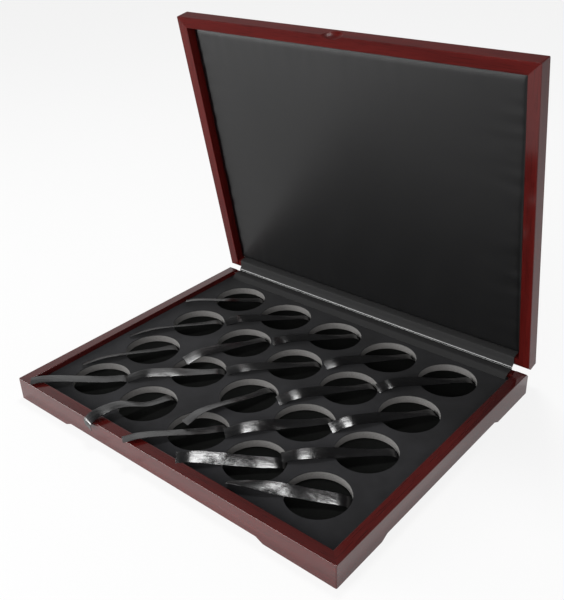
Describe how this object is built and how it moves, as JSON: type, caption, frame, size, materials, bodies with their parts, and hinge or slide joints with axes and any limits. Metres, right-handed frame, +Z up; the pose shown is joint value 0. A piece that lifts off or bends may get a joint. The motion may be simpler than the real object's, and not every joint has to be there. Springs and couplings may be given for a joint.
{
  "type": "coin display case",
  "caption": "Low wooden case with a hinged, satin-lined lid standing open over a black foam tray of round coin pockets, each with a lift ribbon.",
  "frame": {"origin": "under the middle of the open case's bounding box, on the plane that the feet stand on", "axes": "+X along the hinge line to the right, +Y from the front edge to the hinge, +Z up"},
  "size_m": [0.318, 0.2682, 0.269],
  "materials": {
    "rail_wood": "semi-gloss reddish mahogany",
    "panel_wood": "semi-gloss reddish mahogany veneer",
    "tray_foam": "black flocked face on grey foam",
    "backing_card": "matt black",
    "black_ribbon": "satin",
    "satin_lining": "padded black satin",
    "lining_board": "plain board",
    "hinge_brass": "plain"
  },
  "bodies": {
    "base": {"base_front_rail": "rail_wood", "base_left_rail": "rail_wood", "base_panel": "panel_wood", "base_rear_rail": "rail_wood", "base_right_rail": "rail_wood", "foam_tray": "tray_foam", "hinge_cover_strip": "satin_lining", "hinge_left_base_leaf": "hinge_brass", "hinge_left_base_screws": "hinge_brass", "hinge_left_pin": "hinge_brass", "hinge_right_base_leaf": "hinge_brass", "hinge_right_base_screws": "hinge_brass", "hinge_right_pin": "hinge_brass", "lift_ribbon_row1_col1": "black_ribbon", "lift_ribbon_row1_col2": "black_ribbon", "lift_ribbon_row1_col3": "black_ribbon", "lift_ribbon_row1_col4": "black_ribbon", "lift_ribbon_row1_col5": "black_ribbon", "lift_ribbon_row2_col1": "black_ribbon", "lift_ribbon_row2_col2": "black_ribbon", "lift_ribbon_row2_col3": "black_ribbon", "lift_ribbon_row2_col4": "black_ribbon", "lift_ribbon_row2_col5": "black_ribbon", "lift_ribbon_row3_col1": "black_ribbon", "lift_ribbon_row3_col2": "black_ribbon", "lift_ribbon_row3_col3": "black_ribbon", "lift_ribbon_row3_col4": "black_ribbon", "lift_ribbon_row3_col5": "black_ribbon", "lift_ribbon_row4_col1": "black_ribbon", "lift_ribbon_row4_col2": "black_ribbon", "lift_ribbon_row4_col3": "black_ribbon", "lift_ribbon_row4_col4": "black_ribbon", "lift_ribbon_row4_col5": "black_ribbon", "tray_backing_card": "backing_card"},
    "lid": {"hinge_left_lid_leaf": "hinge_brass", "hinge_left_lid_screws": "hinge_brass", "hinge_right_lid_leaf": "hinge_brass", "hinge_right_lid_screws": "hinge_brass", "lid_front_rail": "rail_wood", "lid_left_rail": "rail_wood", "lid_lining_board": "lining_board", "lid_lining_pad": "satin_lining", "lid_panel": "panel_wood", "lid_rear_rail": "rail_wood", "lid_right_rail": "rail_wood"}
  },
  "joints": [
    {"name": "lid_hinge", "type": "hinge", "parent": "base", "child": "lid", "pos_m": [0, 0.12186, 0.01908], "axis": [1, 0, 0], "range_deg": [-10.5, 79.5], "deforming": ["hinge_cover_strip", "lift_ribbon_row4_col1", "lift_ribbon_row4_col2", "lift_ribbon_row4_col3", "lift_ribbon_row4_col4"]}
  ]
}
